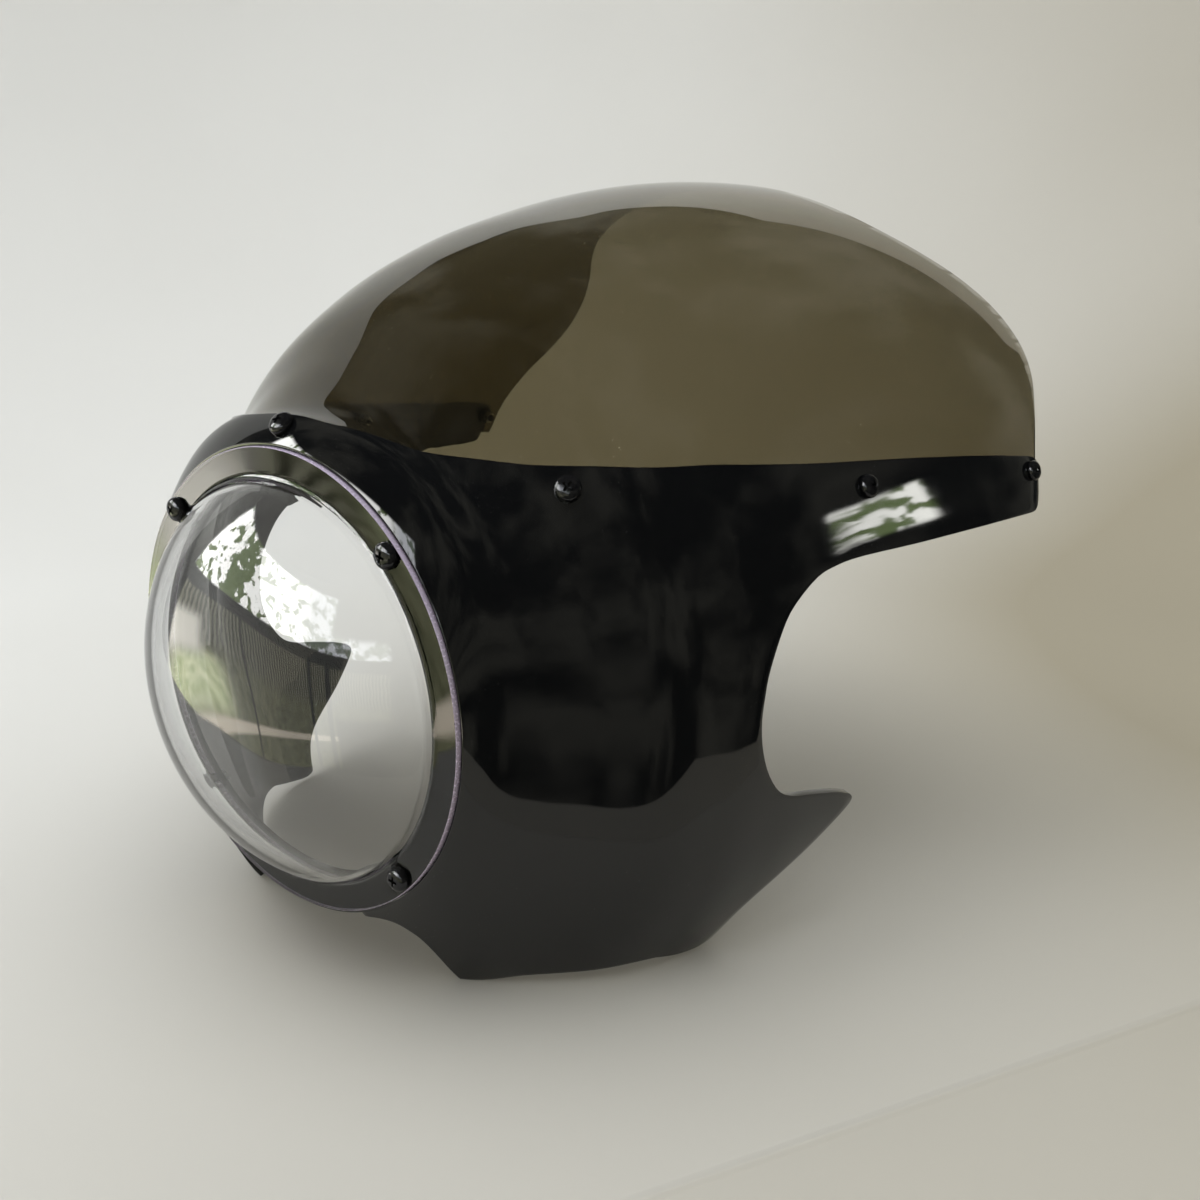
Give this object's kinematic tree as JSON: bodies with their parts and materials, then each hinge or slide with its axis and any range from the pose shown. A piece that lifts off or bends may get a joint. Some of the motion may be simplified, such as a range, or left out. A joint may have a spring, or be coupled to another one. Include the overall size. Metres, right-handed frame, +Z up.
{
  "type": "headlight cowl",
  "caption": "Moulded motorcycle headlight cowl with a round lens seat, a clear domed lens and a smoked windscreen, open at the back and cut away at the sides for the handlebar.",
  "frame": {"origin": "on the surface the part stands on, under the middle of its box", "axes": "front is -Y, the side of the part that is on the viewer's right in the picture is +X, up is +Z; the axis of the round lens seat runs along Y"},
  "size_m": [0.4324, 0.459, 0.3693],
  "materials": {
    "cowl": "high gloss black",
    "windscreen": "smoked clear sheet",
    "lens": "clear polished sheet",
    "screws": "black oxide",
    "washers": "matte nylon",
    "nuts": "zinc plated"
  },
  "bodies": {
    "root": {"cowl": "cowl", "lens_seat": "cowl", "windscreen": "windscreen", "lens": "lens", "lens_screws": "screws", "lens_washers": "washers", "lens_nuts": "nuts", "screen_screws": "screws", "screen_washers": "washers", "screen_nuts": "nuts"}
  },
  "joints": []
}
